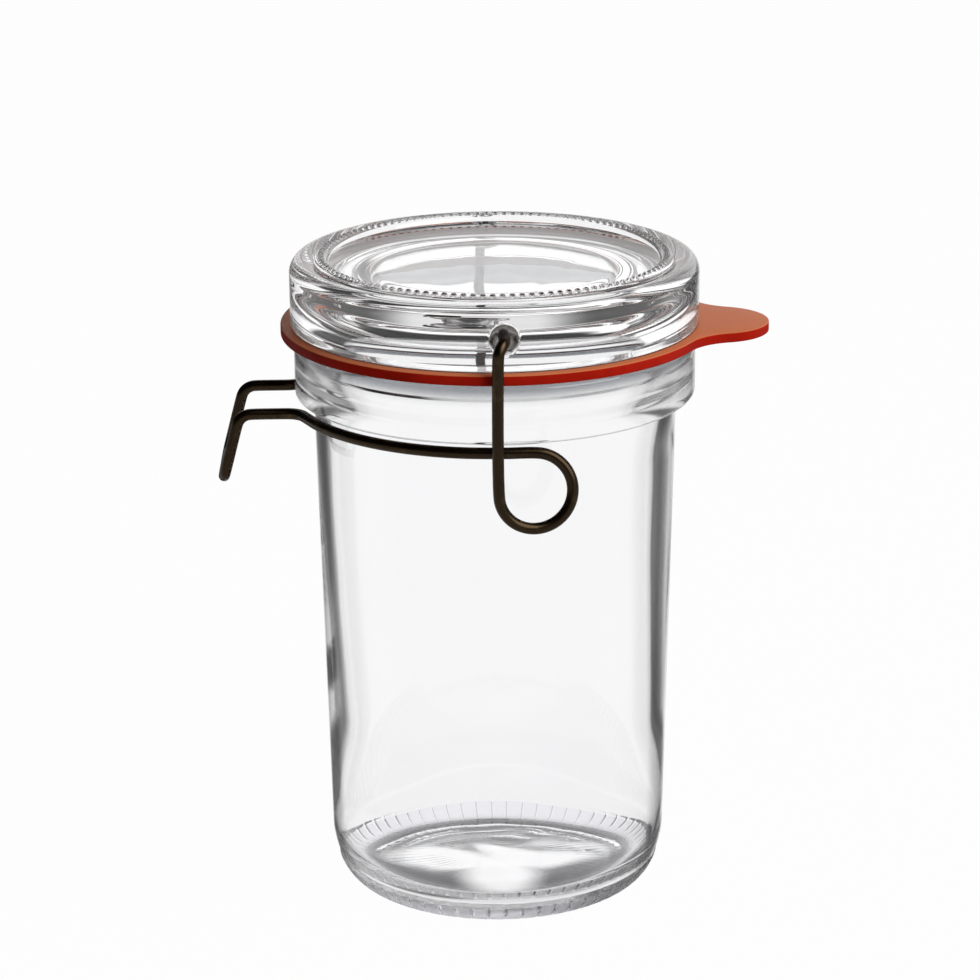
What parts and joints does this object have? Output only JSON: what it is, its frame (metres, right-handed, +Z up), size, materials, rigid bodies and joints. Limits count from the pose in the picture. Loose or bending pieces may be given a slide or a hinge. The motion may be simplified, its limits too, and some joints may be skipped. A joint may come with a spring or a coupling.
{
  "type": "preserving jar",
  "caption": "Straight-sided clear glass preserving jar with glass lid, flat rubber sealing ring with pull tab, and a bent spring wire clip that pivots in the lid and hooks under the collar.",
  "frame": {"origin": "middle of the base, on the surface that the jar stands on", "axes": "+Z up along the jar's axis, +X towards the ring's pull tab and away from the clip's handle, +Y along the clip's pivot"},
  "size_m": [0.1149, 0.0948, 0.137],
  "materials": {
    "jar_glass": "clear, gloss",
    "lid_glass": "clear, gloss",
    "ring_rubber": "smooth, satin orange red",
    "clip_wire": "satin dark bronze"
  },
  "bodies": {
    "jar": {"jar": "jar_glass"},
    "sealing_ring": {"sealing_ring": "ring_rubber"},
    "lid": {"lid": "lid_glass"},
    "wire_clip": {"wire_clip": "clip_wire"}
  },
  "joints": [
    {"name": "seal_lift", "type": "slide", "parent": "jar", "child": "sealing_ring", "axis": [0, 0, 1], "range_m": [0, 0.02]},
    {"name": "lid_lift", "type": "slide", "parent": "sealing_ring", "child": "lid", "axis": [0, 0, 1], "range_m": [0, 0.02]},
    {"name": "clip_swing", "type": "hinge", "parent": "lid", "child": "wire_clip", "pos_m": [0, 0, 0.1293], "axis": [0, 1, 0], "range_deg": [0, 200], "deforming": ["wire_clip"]}
  ]
}
